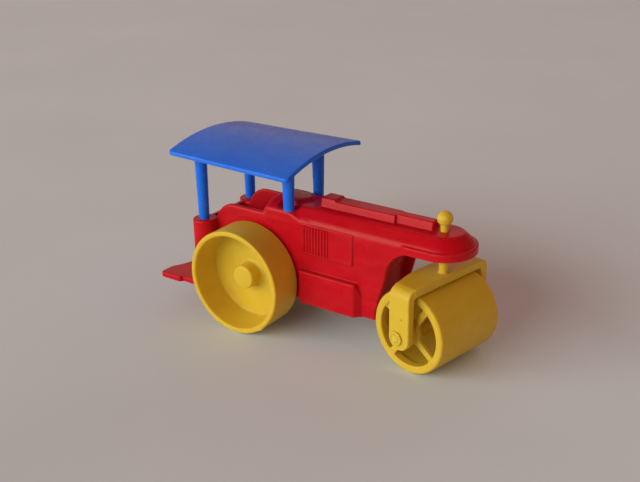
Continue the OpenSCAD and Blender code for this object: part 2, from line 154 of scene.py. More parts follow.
# ---------------------------------------------------------------- from field to mesh
BATCH = 1.5e6           # grid points worked out at a time, to save memory
WEAR_REACH = 0.45       # how far the wear of an edge and the painted shade of a corner reach, in millimetres
WEAR_GAIN = 1.6


def sample(f, axes):
    """The field at every point of the grid."""
    nx, ny, nz = (len(a) for a in axes)
    grid = np.empty((nx, ny, nz), np.float32)
    step = max(1, int(BATCH // (ny * nz)))
    for i in range(0, nx, step):
        grid[i:i + step] = f(axes[0][i:i + step, None, None], axes[1][None, :, None], axes[2][None, None, :])
    return grid


def net_points(grid, inside):
    """Gives each cell that the surface cuts one point, the mean of the cuts through the cell's edges."""
    nx, ny, nz = (n - 1 for n in grid.shape)
    count = np.zeros((nx, ny, nz), np.int8)
    for i, j, k in np.ndindex(2, 2, 2):
        count += inside[i:nx + i, j:ny + j, k:nz + k]
    cells = np.argwhere((count > 0) & (count < 8))
    index = np.full(count.shape, -1, np.int32)
    index[tuple(cells.T)] = np.arange(len(cells))
    total = np.zeros((len(cells), 3))
    hits = np.zeros(len(cells))
    for axis in range(3):
        for u, v in np.ndindex(2, 2):
            near = np.zeros(3, int)
            near[(axis + 1) % 3], near[(axis + 2) % 3] = u, v
            along_edge = np.eye(3, dtype=int)[axis]
            da = grid[tuple((cells + near).T)].astype(float)
            db = grid[tuple((cells + near + along_edge).T)].astype(float)
            on = (da < 0) != (db < 0)
            t = np.where(on, da / np.where(on, da - db, 1), 0)
            point = near.astype(float)[None, :] + t[:, None] * along_edge[None, :]
            total[on] += point[on]
            hits[on] += 1
    return cells + total / hits[:, None], index


def net_faces(inside, index):
    """A quad for each grid edge that the surface crosses, joining the points of the four cells round it."""
    quads = []
    for axis in range(3):
        a1, a2 = (axis + 1) % 3, (axis + 2) % 3
        first, second = [slice(None)] * 3, [slice(None)] * 3
        first[axis], second[axis] = slice(0, -1), slice(1, None)
        at = np.argwhere(inside[tuple(first)] != inside[tuple(second)])
        for a in (a1, a2):
            at = at[(at[:, a] > 0) & (at[:, a] < inside.shape[a] - 1)]
        ring = []
        for o1, o2 in ((-1, -1), (0, -1), (0, 0), (-1, 0)):
            cell = at.copy()
            cell[:, a1] += o1
            cell[:, a2] += o2
            ring.append(index[tuple(cell.T)])
        quad = np.stack(ring, 1)
        turned_over = ~inside[tuple(at.T)]
        quad[turned_over] = quad[turned_over][:, ::-1]
        quads.append(quad)
    quads = np.concatenate(quads)
    return quads[(quads >= 0).all(1)]


def gradient(f, co, e=0.02):
    """Slope of the field at each point, from its values at the corners of a small tetrahedron."""
    k = np.array([[1, -1, -1], [-1, -1, 1], [-1, 1, -1], [1, 1, 1]], float)
    g = np.zeros_like(co)
    for row in k:
        q = co + row * e
        g += row[None, :] * f(q[:, 0], q[:, 1], q[:, 2])[:, None]
    return g / (4 * e)


def settle(f, co, reach, rounds):
    """Moves each point along the field's slope onto its zero level, by at most reach in a round."""
    for _ in range(rounds):
        g = gradient(f, co)
        n2 = np.maximum((g * g).sum(1), 0.05)
        d = f(co[:, 0], co[:, 1], co[:, 2]) / n2
        co = co - g * np.clip(d, -reach, reach)[:, None]
    return co


def points_of(mesh):
    co = np.empty(len(mesh.vertices) * 3, np.float32)
    mesh.vertices.foreach_get("co", co)
    return co.reshape(-1, 3).astype(float)


def fill(mesh, co, quads):
    mesh.vertices.add(len(co))
    mesh.vertices.foreach_set("co", np.ascontiguousarray(co, np.float32).ravel())
    mesh.loops.add(quads.size)
    mesh.loops.foreach_set("vertex_index", quads.astype(np.int32).ravel())
    mesh.polygons.add(len(quads))
    mesh.polygons.foreach_set("loop_start", np.arange(0, quads.size, quads.shape[1], dtype=np.int32))
    mesh.update(calc_edges=True)


def link(name, data):
    obj = bpy.data.objects.new(name, data)
    bpy.context.scene.collection.objects.link(obj)
    return obj


def thin_out(obj, keep):
    """Decimates the object's mesh to the share keep of its triangles."""
    dense = obj.data
    obj.modifiers.new("thin", "DECIMATE").ratio = keep
    dg = bpy.context.evaluated_depsgraph_get()
    light = bpy.data.meshes.new_from_object(obj.evaluated_get(dg), depsgraph=dg)
    obj.modifiers.clear()
    obj.data = light
    bpy.data.meshes.remove(dense)
    obj.data.name = obj.name


def set_normals(mesh, normals):
    normals = normals / np.linalg.norm(normals, axis=1)[:, None]
    mesh.normals_split_custom_set_from_vertices(normals.tolist())


def finish_mesh(mesh, f, co, place):
    """Places the mesh and shades it smooth, with the field's own normals.

    Wear on its convex edges and painted shade in its corners are stored as attributes.
    """
    g = gradient(f, co)
    n = g / np.maximum(np.linalg.norm(g, axis=1), 1e-6)[:, None]
    s = WEAR_REACH
    below, above = co - n * s, co + n * s
    wear = np.clip((s + f(below[:, 0], below[:, 1], below[:, 2])) / s * WEAR_GAIN, 0, 1)
    # painted shade: how deep each point lies in a concave corner, which later darkens its colour
    corner_shade = np.clip((s - f(above[:, 0], above[:, 1], above[:, 2])) / s * WEAR_GAIN, 0, 1)
    for label, values in (("wear", wear), ("corner_shade", corner_shade)):
        attribute = mesh.attributes.new(label, "FLOAT", "POINT")
        attribute.data.foreach_set("value", values.astype(np.float32))
    placed = place(co)
    mesh.vertices.foreach_set("co", placed.astype(np.float32).ravel())
    mesh.polygons.foreach_set("use_smooth", np.ones(len(mesh.polygons), bool))
    mesh.update()
    set_normals(mesh, place(co + n) - placed)


def surface(name, f, lo, hi, h, place, keep):
    """Meshes the zero level of f within lo and hi by surface nets on a grid of step h.

    The share keep of its triangles stays, and every vertex is moved exactly onto the surface.
    """
    axes = [np.arange(a - 1.5 * h, b + 2.5 * h, h) for a, b in zip(lo, hi)]
    grid = sample(f, axes)
    inside = grid < 0
    cell_points, index = net_points(grid, inside)
    co = settle(f, cell_points * h + np.array([a[0] for a in axes]), h, 3)
    mesh = bpy.data.meshes.new(name)
    fill(mesh, co, net_faces(inside, index))
    obj = link(name, mesh)
    thin_out(obj, keep)
    finish_mesh(obj.data, f, settle(f, points_of(obj.data), h * 0.6, 2), place)
    return obj


def turned(name, f, profile, steps, place):
    """Turns a closed profile of (radius, y) about the Y axis, then settles it on the field f."""
    bm = bmesh.new()
    angles = [2 * math.pi * k / steps for k in range(steps)]
    rows = []
    for r, y in profile:
        if r < 1e-6:
            rows.append([bm.verts.new((0, y, 0))] * steps)
        else:
            rows.append([bm.verts.new((r * math.cos(a), y, r * math.sin(a))) for a in angles])
    on_axis = profile[0][0] < 1e-6
    for i in range(len(rows) - on_axis):
        p, q = rows[i], rows[(i + 1) % len(rows)]
        for k in range(steps):
            m = (k + 1) % steps
            corners = list(dict.fromkeys((p[k], p[m], q[m], q[k])))
            if len(corners) > 2:
                bm.faces.new(corners)
    bmesh.ops.recalc_face_normals(bm, faces=bm.faces)
    mesh = bpy.data.meshes.new(name)
    bm.to_mesh(mesh)
    bm.free()
    finish_mesh(mesh, f, settle(f, points_of(mesh), 0.3, 2), place)
    return link(name, mesh)


# ---------------------------------------------------------------- body
FAR, ABOVE, BELOW = 62, 50, -20                         # past the body's front end, top and underside
WALL = 1.1
WHEEL_R, WHEEL_IN, WHEEL_OUT = 12.5, 7.1, 15.5          # the wheel's radius is also its axle's height
HALF, CREASE, TOP, FLAT = 6.8, 28.0, 30.4, 4.2          # hood: half width, crease, top, half of the flat
INSIDE = HALF - WALL
COWL_CREASE, COWL_TOP, COWL_FLAT = 29.3, 30.95, 3.1
COWL_DIP_X, COWL_DIP, COWL_X1, COWL_Z1, COWL_FOOT = 9.8, 3.4, 12.7, 30.3, 26.5
CAB_X0, COWL_X = -14.2, 3.2
CAB_BACK_X, CAB_SILL, CAB_FLOOR, CAB_UNDER = -13.1, 27.8, 15.5, 14.4
LIP_R, LIP_LOW, LIP_TOP, LIP_X = 7.2, 26, 27.9, 39.6
STEP_TOP, STEP_LOW, SKIRT = 7.9, 6.5, 8.5
STEP_HALF, STEP_REAR, STEP_NECK, STEP_NOTCH, STEP_NOTCH_HALF = 12.2, -26.0, -19.4, 2.4, 8.0
TOWER_X, TOWER_Y, TOWER_R, TOWER_TOP = -13.5, 8.7, 2.7, 23.6
POST_X, POST_Y, POST_SEAT = 9.6, 5.75, 29.5
SEAT_X0, SEAT_X1, SEAT_IN, SEAT_OUT = 6.2, 11.8, 3.3, 9
PANEL_X0, PANEL_X1, PANEL_LOW, PANEL_TOP = 13.8, 27.4, 20.3, 27.5
PANEL_OUT, PANEL_LEAN = 6.97, 0.03                      # at its top, and outwards per millimetre below it
BOX_X0, BOX_RAMP_X, BOX_X1, BOX_OUT, BOX_TOP = 13.7, 28.4, 28.6, 8.3, 16.4
ROOT = 5                                                # raised parts start this far out, inside the wall
WEB_X1, WEB_SIDE_IN, WEB_TOP = -10.9, 5.9, 23.5         # between a tower and the cab's rear corner
WHEEL_GAP_R, WHEEL_GAP_Y = 13.0, 6.85
TUBE_R, TUBE_LOW, TUBE_TOP, PIN_BORE_R = 2.2, 26.95, 29.9, 0.95
BEARING_R, BEARING_IN, BEARING_OUT, AXLE_BORE_R = 1.75, 4.5, 6.5, 1.06

# The outlines below are (x, z) as seen from the side.
SIDE = ([(CAB_X0, STEP_LOW), (CAB_BACK_X, STEP_LOW), (CAB_BACK_X, SKIRT)]
        + [(33, SKIRT), (33.35, 11), (33.9, 13.3), (35, 17)]
        + arc(42.2, 19.5, 6.5, 180, 92, 9)
        + [(PIN_X, LIP_LOW), (FAR, LIP_LOW), (FAR, 42)]
        + [(COWL_X - 0.6, 42), (COWL_X - 0.6, CAB_SILL), (-6.3, CAB_SILL)]
        + [(-7.4, 27.6), (-8.5, 27.15), (-9.5, 26.5), (-10.4, 25.5), (-11.1, 24.4)]
        + [(-11.5, 23.4), (CAB_X0, 23.4)])
BAY = ([(COWL_X + WALL, -5), (29.9, -5), (30.2, 8), (31.9, 13.3), (32.9, 19), (33.7, 23.2), (36, 26)]
       + [(38.5, 27.6), (PIN_X + 20, 28), (PIN_X + 20, 40), (COWL_X + WALL, 40)])
RECESS = ([(30.8, -5), (30.9, 8), (32.8, 13.3), (33.9, 19)]
          + arc(42.2, 19.5, 8, 178, 114, 7)
          + [(PIN_X - 4, 26.9), (FAR, 26.9), (FAR, -5)])
# Blocks of the ridge along the hood: half width, top, rear end, front end.
RIDGE_FOOT, RIDGE_DRAFT = 30, 0.22
REAR_RIDGE = (2.3, 32.1, 15.8, 35.1)
RIDGE_RISE = (2.3, 32.5, 15.8, 19.6)
FRONT_RIDGE = (1.65, 32.25, 34.9, 43.9)


def bevel_plane(rho, z, crease, flat, top):
    """From the crease on the side up to the edge of the flat top."""
    return tilt(rho - HALF, z - crease, top - crease, HALF - flat)


def nose_rho(x, y):
    """Distance from the hood's middle plane, and from the king pin's axis in front of it."""
    return np.hypot(np.maximum(x - PIN_X, 0), y)


def hood(x, y, z, inset):
    rho = nose_rho(x, y)
    side = rho - (HALF - inset)
    slope = bevel_plane(rho, z, CREASE, FLAT, TOP) + inset
    return smax(smax(side, slope, 0.9), z - (TOP - inset), 0.4)


def cowl(x, ay, z):
    """The raised rear part of the hood, whose crease comes down to the hood's at its front end."""
    drop = (COWL_CREASE - CREASE) * np.clip((x - COWL_DIP_X) / COWL_DIP, 0, 1)
    shape = smax(ay - HALF, bevel_plane(ay, z + drop, COWL_CREASE, COWL_FLAT, COWL_TOP), 0.7)
    shape = smax(shape, z - COWL_TOP, 0.9)
    front = tilt(x - COWL_X1, z - COWL_Z1, 1.3, 1.8)
    return smax(smax(shape, COWL_X - x, 1.1), smax(front, COWL_FOOT - z, 0.3), 0.6)


def nose_lip(x, y, z):
    """The thicker lower edge round the nose, which fades out along the sides."""
    fade = ((np.abs(y) - HALF) - 0.5 * (x - LIP_X)) / 1.118     # 1.118 is the length of (1, 0.5)
    lip = smax(nose_rho(x, y) - LIP_R, fade, 0.3)
    return smax(lip, span(z, LIP_LOW, LIP_TOP), 0.35)


def ridge_block(x, ay, z, half, top, rear, front):
    sides = ay - half + RIDGE_DRAFT * (z - TOP)
    return smax(smax(sides, z - top, 0.35), smax(span(x, rear, front), RIDGE_FOOT - z, 0.2), 0.3)


def ridge(x, ay, z):
    rear = smin(ridge_block(x, ay, z, *REAR_RIDGE), ridge_block(x, ay, z, *RIDGE_RISE), 0.1)
    return smin(rear, ridge_block(x, ay, z, *FRONT_RIDGE), 0.1)


def side_panel(x, ay, z):
    lean = PANEL_LEAN * (PANEL_TOP - z)
    panel = slab(x, ay - lean, z, (PANEL_X0, ROOT, PANEL_LOW), (PANEL_X1, PANEL_OUT, PANEL_TOP), 0.12)
    return smax(panel, z - PANEL_TOP, 0.2)


def low_box(x, ay, z):
    """The box low on each side, with a ramp at its front and its upper front corner cut off."""
    ramp = tilt(x - BOX_RAMP_X, ay - BOX_OUT, 1.5, 1.4)
    corner = tilt(x - BOX_X1, z - BOX_TOP, 3.0, 1.2)
    face = smax(smax(ay - BOX_OUT, ramp, 0.25), span(z, SKIRT, BOX_TOP), 0.3)
    return np.maximum(smax(face, smax(BOX_X0 - x, corner, 0.3), 0.3), ROOT - ay)


def tower(x, ay, z):
    post = np.hypot(x - TOWER_X, ay - TOWER_Y) - TOWER_R
    return cross(post, span(z, STEP_LOW, TOWER_TOP), 0.3)


def step_plate(x, y, z):
    """Wide behind, with a notch in its rear edge, and narrower between the towers."""
    big = (STEP_NOTCH_HALF ** 2 + STEP_NOTCH ** 2) / (2 * STEP_NOTCH)
    wide = rect2(x - (STEP_REAR + STEP_NECK) / 2, y, (STEP_NECK - STEP_REAR) / 2, STEP_HALF, 0.8)
    narrow = rect2(x - (STEP_NECK + CAB_BACK_X) / 2 + 0.5, y, (CAB_BACK_X - STEP_NECK) / 2 + 0.5,
                   TOWER_Y + TOWER_R, 0.3)
    notch = np.hypot(x - (STEP_REAR + STEP_NOTCH - big), y) - big
    return cross(cut(smin(wide, narrow, 0.3), notch, 0.5), span(z, STEP_LOW, STEP_TOP), 0.3)


def hollow(x, y, z, outline):
    """Room under the hood, within an outline and WALL away from its outside."""
    return smax(smax(hood(x, y, z, WALL), poly2(x, z, outline), 0.6), np.abs(y) - INSIDE, 0.5)


def with_raised_parts(shell, x, y, z):
    ay = np.abs(y)
    shell = smin(shell, cowl(x, ay, z), 0.25)
    shell = smin(shell, nose_lip(x, y, z), 0.15)
    shell = smin(shell, ridge(x, ay, z), 0.2)
    shell = smin(shell, side_panel(x, ay, z), 0.15)
    shell = smin(shell, low_box(x, ay, z), 0.2)
    shell = smin(shell, tower(x, ay, z), 0.5)
    web = slab(x, ay, z, (CAB_X0, WEB_SIDE_IN, STEP_LOW + 0.1), (WEB_X1, TOWER_Y, WEB_TOP), 0.25)
    shell = smin(shell, web, 0.3)
    return smin(shell, step_plate(x, y, z), 0.5)


def with_hollows(shell, x, y, z):
    ay = np.abs(y)
    wheel_gap = smax(np.hypot(x, z - WHEEL_R) - WHEEL_GAP_R, WHEEL_GAP_Y - ay, 0.2)
    shell = cut(shell, wheel_gap, 0.4)
    shell = cut(shell, hollow(x, y, z, BAY), 0.35)
    shell = cut(shell, hollow(x, y, z, RECESS), 0.35)
    rear, front = CAB_X0 + WALL, COWL_X - 0.1
    cab = slab(x, y, z, (rear, -INSIDE, CAB_FLOOR), (front, INSIDE, ABOVE), 0.8)
    shell = cut(shell, smax(cab, CAB_FLOOR - z, 0.5), 0.45)
    under_cab = slab(x, y, z, (rear, -INSIDE, BELOW), (front, INSIDE, CAB_UNDER), 0.5)
    shell = cut(shell, under_cab, 0.3)
    # seats for the front posts, open to the side
    seat = slab(x, ay, z, (SEAT_X0, SEAT_IN, POST_SEAT), (SEAT_X1, SEAT_OUT, ABOVE), 0.8)
    return cut(shell, seat, 0.3)


def with_bearings(shell, x, y, z):
    """Adds the king pin's tube and the axle's bearings, and bores both."""
    pin_r, axle_r = np.hypot(x - PIN_X, y), np.hypot(x, z - WHEEL_R)
    shell = smin(shell, cross(pin_r - TUBE_R, span(z, TUBE_LOW, TUBE_TOP), 0.15), 0.5)
    bearing = cross(axle_r - BEARING_R, span(np.abs(y), BEARING_IN, BEARING_OUT), 0.15)
    shell = smin(shell, bearing, 0.4)
    return cut(cut(shell, pin_r - PIN_BORE_R, 0.12), axle_r - AXLE_BORE_R, 0.15)


def body_field(x, y, z):
    shell = smax(hood(x, y, z, 0), poly2(x, z, SIDE), 0.55)
    return with_bearings(with_hollows(with_raised_parts(shell, x, y, z), x, y, z), x, y, z)


# ---------------------------------------------------------------- canopy
ROOF_HALF, ROOF_EDGE, ROOF_RISE, ROOF_T = 14.5, 39.8, 2.3, 1.05
ROOF_MID, ROOF_HALF_LENGTH = -1.1, 17.1
TWIST_X, TWIST_LENGTH = -18.2, 34.2                     # the roof's rear edge and its length
DROP_MID, DROP_SIDE, DROP_Z, DROP_HEIGHT = 0.1, 0.55, 34, 4
ARCH_R = (ROOF_HALF ** 2 + ROOF_RISE ** 2) / (2 * ROOF_RISE)
ARCH_Z = ROOF_EDGE + ROOF_RISE - ARCH_R
POST_R, POST_FLARE = 1.22, 0.28                         # radius at the foot, and its gain up to the roof
ROOF_LOW = 36                                           # the sheet's cylinder is cut off below this
POST_FEET = ((TOWER_X, TOWER_Y, TOWER_TOP - 0.3), (POST_X, POST_Y, POST_SEAT - 0.3))


def canopy_field(x, y, z):
    # the sheet is slightly twisted: towards the front its right edge hangs lower than its left one
    drop = DROP_MID - DROP_SIDE * y / ROOF_HALF
    twist = np.clip((x - TWIST_X) / TWIST_LENGTH, 0, 1) * drop
    z = z + twist * np.clip((z - DROP_Z) / DROP_HEIGHT, 0, 1)
    ay = np.abs(y)
    under = np.hypot(y, z - ARCH_Z) - ARCH_R
    sheet = np.abs(under - ROOF_T / 2) - ROOF_T / 2
    plan = rect2(x - ROOF_MID, y, ROOF_HALF_LENGTH, ROOF_HALF, 0.9)
    roof = smax(cross(sheet, plan, 0.4), ROOF_LOW - z, 0.1)
    upper = np.clip((under - 0.25) / 0.45, 0, 1)        # keeps the roof's top free of the posts' fillets
    for px, py, pz in POST_FEET:
        t = np.clip((z - pz) / (ROOF_EDGE + 1 - pz), 0, 1)
        r = POST_R + POST_FLARE * t
        post = (np.hypot(x - px, ay - py) - r) * 0.995  # nearly 1, for the post's taper
        post = np.maximum(smax(post, pz - z, 0.15), under - 0.4)
        roof = smin(roof, post, 1.3) * (1 - upper) + roof * upper
    return roof


# ---------------------------------------------------------------- fork
# Fork millimetres: X = Y = 0 on the king pin's axis, with the drum straight ahead.
DRUM_R, DRUM_HALF, DRUM_IN = 9.49, 9.6, 8.2
SADDLE_TOP, SADDLE_UNDER = 20.8, 19.1
LEG_OUT, LEG_IN, LEG_R, LEG_X = 13.1, 11.2, 2.75, -0.9
KING_PIN_R, KING_PIN_TOP_R, KING_PIN_TOP, BORE_R = 1.0, 0.9, 33.4, 0.96
COLLAR_R, COLLAR_LOW, COLLAR_TOP = 1.45, 26.15, 26.85
DIMPLE_R, DIMPLE_X, DIMPLE_Y, DIMPLE_Z = 0.28, -0.1, 13.15, 14.1
HEIGHT = 20                                             # half the height of a leg before its end is cut
HALF_SADDLE = [(1.85, 11), (-3.65, 11), (-4.6, 7.6), (-5.15, 4.5), (-5.4, 0)]
SADDLE = HALF_SADDLE + [(x, -y) for x, y in HALF_SADDLE[-2::-1]]


def fork_field(x, y, z):
    ay = np.abs(y)
    outer = rect2(y, z - SADDLE_TOP + HEIGHT, LEG_OUT, HEIGHT, 2.2)
    inner = rect2(y, z - SADDLE_UNDER + HEIGHT, LEG_IN, HEIGHT, 1.1)
    leg = np.hypot(x - LEG_X, np.minimum(z - DRUM_R, 0)) - LEG_R
    bow = smax(smax(outer, -inner, 0.35), leg, 0.45)
    saddle = smax(poly2(x + 0 * y, y + 0 * x, SADDLE), span(z, SADDLE_UNDER, SADDLE_TOP), 0.45)
    bow = smin(bow, saddle, 0.4)
    r = np.hypot(x, y)
    bow = smin(bow, smax(r - KING_PIN_R, span(z, 20, 26.2), 0.1), 0.5)
    bow = smin(bow, cross(r - COLLAR_R, span(z, COLLAR_LOW, COLLAR_TOP), 0.15), 0.2)
    bow = smin(bow, cross(r - KING_PIN_TOP_R, span(z, 26.5, KING_PIN_TOP), 0.2), 0.12)
    hole = np.hypot(x + TRAIL, z - DRUM_R) - BORE_R
    bow = cut(bow, smax(hole, 10 - ay, 0.1), 0.15)
    dimple = np.sqrt((x - DIMPLE_X) ** 2 + (z - DIMPLE_Z) ** 2 + (ay - DIMPLE_Y) ** 2) - DIMPLE_R
    return cut(bow, dimple, 0.1)


# ---------------------------------------------------------------- drum
RING_IN = 7.7           # inner radius of the ring that each end's spokes meet
END_Y = DRUM_HALF - 0.4
END_T = 1.3
HUB_R, HUB_BORE_R, HUB_DISC_R, HUB_Y = 2.2, 1.01, 2.75, 10.88
SPOKES, FIRST_SPOKE, SPOKE_HALF = 4, 54, 0.74


def on_axle(p):
    """Drum parts are made with their axle along Y through the origin."""
    return to_fork(p + np.array([-TRAIL, 0, DRUM_R]))


def spoked(x, y, z, rim):
    """Spokes and hub of the end on the +Y side."""
    r = np.hypot(x, z)
    end = r - HUB_DISC_R
    for i in range(SPOKES):
        a = math.radians(FIRST_SPOKE + 360 / SPOKES * i)
        outwards, across = x * math.cos(a) + z * math.sin(a), -x * math.sin(a) + z * math.cos(a)
        spoke = smax(np.abs(across) - SPOKE_HALF, np.maximum(-outwards, r - rim), 0.1)
        end = smin(end, spoke, 0.9)
    end = smax(end, span(y, END_Y - END_T, END_Y), 0.3)
    hub = cross(r - HUB_R, span(y, END_Y - 5, HUB_Y), 0.2)
    return smin(end, hub, 0.4)


def drum_field(x, y, z):
    r = np.hypot(x, z)
    shell = cross(np.maximum(r - DRUM_R, DRUM_IN - r), span(y, -DRUM_HALF, DRUM_HALF), 0.6)
    ring_span = span(y, -DRUM_HALF + 0.05, -END_Y + END_T + 0.4)
    ring = cross(np.maximum(r - DRUM_IN - 0.6, RING_IN - r), ring_span, 0.3)
    both = smin(smin(shell, ring, 0.2), spoked(x, -y, z, DRUM_IN + 0.2), 0.5)
    return cut(both, r - HUB_BORE_R, 0.15)


def cap_field(x, y, z):
    r = np.hypot(x, z)
    ring_span = span(y, END_Y - END_T - 0.6, DRUM_HALF - 0.2)
    ring = cross(np.maximum(r - DRUM_IN + 0.03, RING_IN - r), ring_span, 0.12)
    both = smin(ring, spoked(x, y, z, RING_IN + 0.1), 0.4)
    return cut(both, r - HUB_BORE_R, 0.15)


# ---------------------------------------------------------------- wheels
STEPS = 192
DISH_R, DRAFT, WEB_IN, WEB_Y = 11.3, 0.8, 7.3, 8.4
HUB_CAP_R, HUB_CAP_Y, HUB_CAP_DRAFT = 2.8, 11.7, 0.03
RIM_EDGE = 0.4
GATE_X, GATE_Y, GATE_Z, GATE_RISE = 7.7, 15, -9.85, 0.35     # gate mark on the outer edge of each rim


def dish_r(y):
    """Inner radius of the rim, which narrows towards the web."""
    return DISH_R - DRAFT * np.clip((WHEEL_OUT - y) / (WHEEL_OUT - WEB_Y), 0, 1)


def wheel_field(x, y, z):
    """Wheel with y as the distance from the toy's middle."""
    r = np.hypot(x, z)
    gate = GATE_RISE * np.exp(-((x - GATE_X) ** 2 + (z - GATE_Z) ** 2 + (y - GATE_Y) ** 2) / 0.3)
    rim = cross(np.maximum(r - WHEEL_R - gate, dish_r(y) - r), span(y, WHEEL_IN, WHEEL_OUT), 0.4)
    web = smax(r - (WHEEL_R - 0.8), span(y, WEB_IN, WEB_Y), 0.1)
    both = smin(rim, web, 0.7)
    hub = smax(r - HUB_CAP_R - HUB_CAP_DRAFT * (HUB_CAP_Y - y), span(y, WEB_IN, HUB_CAP_Y), 0.5)
    return smin(both, hub, 0.8)


# Outline of one half of the wheel as (radius, y), from the middle of its inner face round to the hub's.
WHEEL = ([(0, WEB_IN)] + along((2.0, WEB_IN), (10.0, WEB_IN), 8)
         + [(10.25, 7.27), (10.5, 7.2), (10.75, 7.12), (11.4, WHEEL_IN)]
         + arc(WHEEL_R - RIM_EDGE, WHEEL_IN + RIM_EDGE, RIM_EDGE, -90, 0, 7)
         + along((WHEEL_R, 7.8), (WHEEL_R, 14.9), 5)
         + arc(WHEEL_R - RIM_EDGE, WHEEL_OUT - RIM_EDGE, RIM_EDGE, 0, 90, 7)
         + arc(DISH_R + RIM_EDGE, WHEEL_OUT - RIM_EDGE, RIM_EDGE, 90, 180, 7)
         + along((dish_r(14.8), 14.8), (dish_r(9.1), 9.1), 8)
         + arc(dish_r(9) - 0.5, 8.9, 0.5, 0, -90, 9)
         + along((9.8, WEB_Y), (4.2, WEB_Y), 7)
         + [(3.8, 8.42), (3.45, 8.5), (3.15, 8.7), (2.98, 9), (2.93, 9.4), (2.9, 10.2), (2.85, 11.0)]
         + arc(2.4, 11.3, 0.4, 10, 90, 6)
         + [(1.8, HUB_CAP_Y), (0.9, HUB_CAP_Y), (0, HUB_CAP_Y)])


def wheel(name, side):
    def place(p):
        return to_body(p * np.array([1, side, 1]) + np.array([0, 0, WHEEL_R]))

    obj = turned(name, wheel_field, WHEEL, STEPS, place)
    if side < 0:
        obj.data.flip_normals()
        reset_normals(obj.data, wheel_field, place)
    return obj


def reset_normals(mesh, f, place):
    """Sets the normals again after a mirror in Y has turned the faces over."""
    mirror = np.array([1, -1, 1])
    centre = place(np.zeros((1, 3)))[0]
    set_normals(mesh, gradient(f, (points_of(mesh) - centre) / MM * mirror) * mirror)


# ---------------------------------------------------------------- axle, knob, drum pins
AXLE_R, AXLE_HALF = 1.0, 10.9
KNOB_R, KNOB_HALF, KNOB_SQUASH, KNOB_FLAT, KNOB_Z = 1.7, 1.65, 1.03, -1.2, 33.2
KNOB_BORE_R, KNOB_BORE_END = 0.91, 0.4
PIN_SHANK_R, PIN_HEAD_R, PIN_TIP, PIN_FACE = 0.95, 1.6, 4.5, 13.64

AXLE = ([(0, -AXLE_HALF), (0.6, -AXLE_HALF)] + arc(0.8, -10.7, 0.2, -90, 0, 4)
        + along((AXLE_R, -10), (AXLE_R, 10.2), 12)
        + arc(0.8, 10.7, 0.2, 0, 90, 4) + [(0.6, AXLE_HALF), (0, AXLE_HALF)])
BALL_ANGLES = [math.radians(t) for t in range(46, 180, 4)]
KNOB = ([(0, KNOB_BORE_END), (0.6, KNOB_BORE_END), (KNOB_BORE_R, 0.35), (KNOB_BORE_R, -0.4)]
        + [(KNOB_BORE_R, -1.0), (0.95, -1.18)]
        + [(KNOB_R * math.sin(t), -KNOB_HALF * math.cos(t)) for t in BALL_ANGLES] + [(0, KNOB_HALF)])
PIN = ([(0, PIN_TIP), (0.6, PIN_TIP), (0.93, 4.7), (0.95, 5.2), (0.95, 8), (0.95, 11), (0.95, 12.8)]
       + [(1.05, 13.08), (1.35, 13.1)]
       + arc(1.4, 13.3, 0.2, -60, 0, 3) + arc(1.35, 13.4, 0.24, 10, 90, 6)
       + [(1.22, 13.63), (1.14, 13.6), (1.05, 13.52), (0.95, 13.49), (0.85, 13.52), (0.76, 13.6)]
       + [(0.68, 13.63), (0.4, PIN_FACE), (0, PIN_FACE)])


def axle_field(x, y, z):
    return cross(np.hypot(x, z) - AXLE_R, np.abs(y) - AXLE_HALF, 0.2)


def place_axle(p):
    return to_body(p + np.array([0, 0, WHEEL_R]))


def knob_field(x, y, z):
    """Ball with its axis along y, a flat underneath, a fine seam round it and a blind bore from below."""
    ball = np.sqrt(x * x + (y * KNOB_SQUASH) ** 2 + z * z) - KNOB_R
    ball = smax(ball, KNOB_FLAT - y, 0.3)
    r = np.hypot(x, z)
    seam = np.hypot(r - KNOB_R, y) - 0.06
    bore = smax(r - KNOB_BORE_R, y - KNOB_BORE_END, 0.05)
    return cut(smin(ball, seam, 0.12), bore, 0.08)


def place_knob(p):
    return to_fork(np.stack([p[:, 2], p[:, 0], p[:, 1] + KNOB_Z], 1))


def pin_field(x, y, z):
    """Shank and flat head, with a round groove in the head's face."""
    r = np.hypot(x, z)
    shank = smax(r - PIN_SHANK_R, span(y, PIN_TIP, 13.4), 0.15)
    head = smax(r - PIN_HEAD_R, span(y, 13.1, PIN_FACE), 0.3)
    groove = np.hypot(r - PIN_SHANK_R, y - 13.7) - 0.22
    return cut(smin(shank, head, 0.15), groove, 0.1)


def drum_pin(name, side):
    def place(p):
        return on_axle(p * np.array([side, side, 1]))

    return turned(name, pin_field, PIN, 56, place)


# ---------------------------------------------------------------- ribs of the side panel
RIBS, RIB_X0, RIB_PITCH = 9, 14.35, 0.8
RIB_WIDE, RIB_DEEP, RIB_LOW, RIB_TOP, RIB_OUT = 0.52, 0.2, 20.75, 27.05, 6.98


def ribs(name, side):
    """Upright slats on the rear half of the raised side panel."""
    bm = bmesh.new()
    for i in range(RIBS):
        verts = bmesh.ops.create_cube(bm, size=1)["verts"]
        for v in verts:
            x = RIB_X0 + i * RIB_PITCH + v.co.x * RIB_WIDE
            z = (RIB_LOW + RIB_TOP) / 2 + v.co.z * (RIB_TOP - RIB_LOW)
            v.co = Vector((x, side * (RIB_OUT + PANEL_LEAN * (PANEL_TOP - z) + v.co.y * RIB_DEEP), z))
        edges = {e for v in verts for e in v.link_edges}
        bmesh.ops.bevel(bm, geom=list(edges), offset=0.07, segments=3, affect="EDGES", profile=0.5)
    mesh = bpy.data.meshes.new(name)
    bm.to_mesh(mesh)
    bm.free()
    mesh.vertices.foreach_set("co", to_body(points_of(mesh)).astype(np.float32).ravel())
    for label in ("wear", "corner_shade"):
        mesh.attributes.new(label, "FLOAT", "POINT")
    return link(name, mesh)


